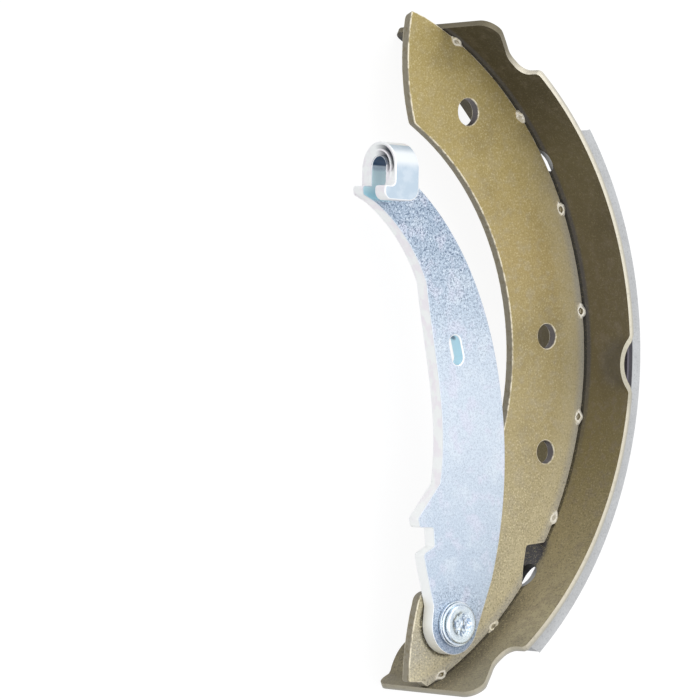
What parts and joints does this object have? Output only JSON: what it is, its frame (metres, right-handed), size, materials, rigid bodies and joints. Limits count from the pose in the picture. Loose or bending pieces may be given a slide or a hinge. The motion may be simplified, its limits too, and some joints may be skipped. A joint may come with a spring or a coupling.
{
  "type": "drum brake shoe",
  "caption": "Curved drum-brake shoe with bonded lining, flat web and a pivoting parking-brake lever whose folded hook takes the cable.",
  "frame": {"origin": "the drum's axis, in the plane of the table edge that the shoe lies on", "axes": "+Z along the drum's axis towards the lever side, +X from the axis to the middle of the table, +Y towards the piston end"},
  "size_m": [0.0922, 0.1778, 0.0372],
  "materials": {
    "coated_steel": "olive-gold weldable coating, fine grained and satin",
    "table_steel": "dark olive-gold coating, satin",
    "friction_material": "pressed friction compound, matte and speckled grey",
    "zinc_steel": "clear blue zinc plating with a mottled grain",
    "bright_zinc": "bright zinc plating"
  },
  "bodies": {
    "shoe": {"web": "coated_steel", "table": "table_steel", "lining": "friction_material", "pivot_pin": "bright_zinc", "flat_washer": "bright_zinc", "spring_washer": "bright_zinc"},
    "lever": {"lever": "zinc_steel"}
  },
  "joints": [
    {"name": "lever_pivot", "type": "hinge", "parent": "shoe", "child": "lever", "pos_m": [0.0458, -0.0694, 0.0221], "axis": [0, 0, 1], "range_deg": [-25, 115]}
  ]
}
